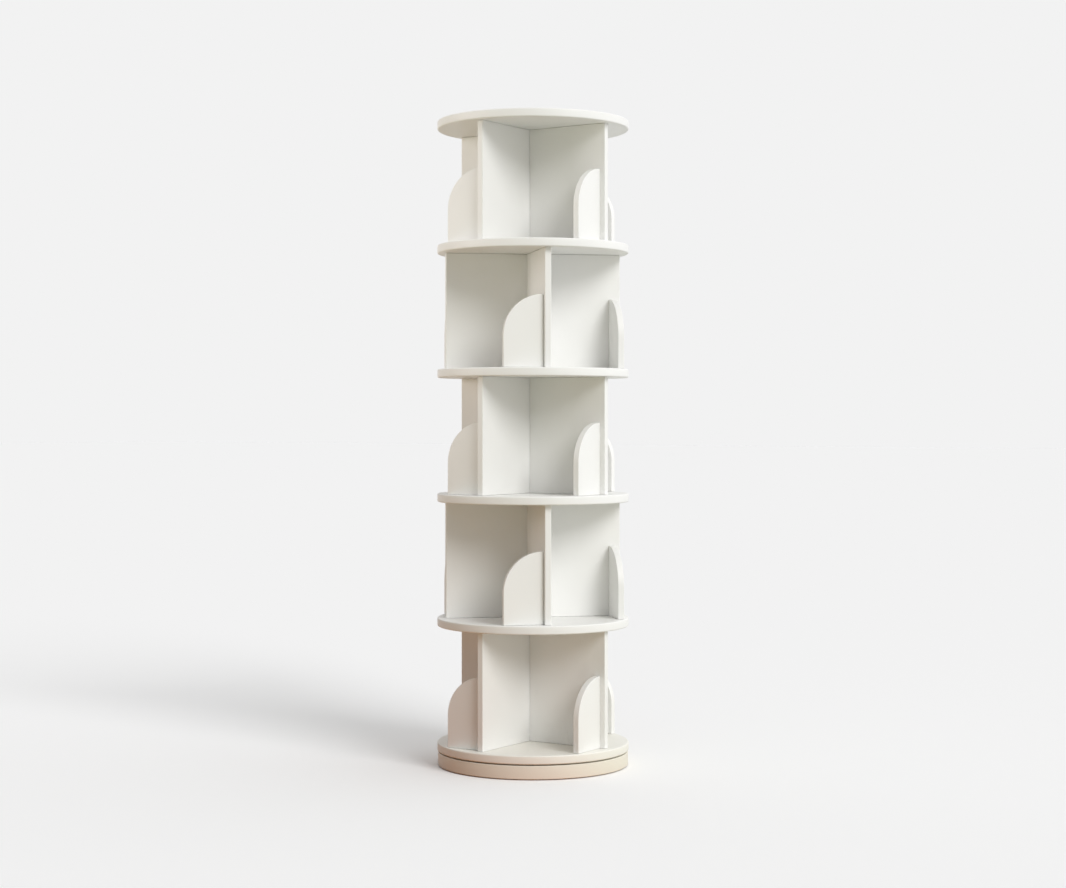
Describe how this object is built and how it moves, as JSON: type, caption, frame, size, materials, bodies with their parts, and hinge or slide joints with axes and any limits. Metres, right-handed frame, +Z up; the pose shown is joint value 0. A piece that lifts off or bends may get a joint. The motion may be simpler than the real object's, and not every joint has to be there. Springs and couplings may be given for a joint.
{
  "type": "revolving bookcase",
  "caption": "Tall round revolving bookcase: tiers of pinwheel panels with quarter-arch stops between round white discs, turning on a fixed base disc.",
  "frame": {"origin": "on the turning axis, in the plane on which the foot pads stand", "axes": "+Z up along the turning axis; the panels of the odd tiers, counted from the top, lie along X and Y"},
  "size_m": [0.5, 0.5, 1.6792],
  "materials": {
    "painted_board": "warm white satin paint on board",
    "zinc_plated_ring": "zinc plated",
    "bearing_steel": "polished",
    "fastener_steel": "plated",
    "pad_rubber": "matt"
  },
  "bodies": {
    "base": {"base_disc": "painted_board", "foot_pad_1": "pad_rubber", "foot_pad_2": "pad_rubber", "foot_pad_3": "pad_rubber", "foot_pad_4": "pad_rubber", "bearing_outer_ring": "zinc_plated_ring", "ring_screw_1": "fastener_steel", "ring_screw_2": "fastener_steel", "ring_screw_3": "fastener_steel"},
    "ball_row": {"caged_balls": "bearing_steel"},
    "carousel": {"top_disc": "painted_board", "shelf_disc_1": "painted_board", "shelf_disc_2": "painted_board", "shelf_disc_3": "painted_board", "shelf_disc_4": "painted_board", "bottom_disc": "painted_board", "tier_1_panel_1": "painted_board", "tier_1_baffle_1": "painted_board", "tier_1_panel_2": "painted_board", "tier_1_baffle_2": "painted_board", "tier_1_panel_3": "painted_board", "tier_1_baffle_3": "painted_board", "tier_1_panel_4": "painted_board", "tier_1_baffle_4": "painted_board", "tier_2_panel_1": "painted_board", "tier_2_baffle_1": "painted_board", "tier_2_panel_2": "painted_board", "tier_2_baffle_2": "painted_board", "tier_2_panel_3": "painted_board", "tier_2_baffle_3": "painted_board", "tier_2_panel_4": "painted_board", "tier_2_baffle_4": "painted_board", "tier_3_panel_1": "painted_board", "tier_3_baffle_1": "painted_board", "tier_3_panel_2": "painted_board", "tier_3_baffle_2": "painted_board", "tier_3_panel_3": "painted_board", "tier_3_baffle_3": "painted_board", "tier_3_panel_4": "painted_board", "tier_3_baffle_4": "painted_board", "tier_4_panel_1": "painted_board", "tier_4_baffle_1": "painted_board", "tier_4_panel_2": "painted_board", "tier_4_baffle_2": "painted_board", "tier_4_panel_3": "painted_board", "tier_4_baffle_3": "painted_board", "tier_4_panel_4": "painted_board", "tier_4_baffle_4": "painted_board", "tier_5_panel_1": "painted_board", "tier_5_baffle_1": "painted_board", "tier_5_panel_2": "painted_board", "tier_5_baffle_2": "painted_board", "tier_5_panel_3": "painted_board", "tier_5_baffle_3": "painted_board", "tier_5_panel_4": "painted_board", "tier_5_baffle_4": "painted_board", "bearing_inner_ring": "zinc_plated_ring", "disc_bolt_1": "fastener_steel", "disc_bolt_2": "fastener_steel", "disc_bolt_3": "fastener_steel"}
  },
  "joints": [
    {"name": "carousel_spin", "type": "hinge", "parent": "base", "child": "carousel", "pos_m": [0, 0, 0.0392], "axis": [0, 0, 1], "continuous": true},
    {"name": "ball_row_spin", "type": "hinge", "parent": "base", "child": "ball_row", "pos_m": [0, 0, 0.03455], "axis": [0, 0, 1], "continuous": true}
  ],
  "couplings": [
    {"joint": "ball_row_spin", "follows": "carousel_spin", "ratio": 0.4866}
  ]
}
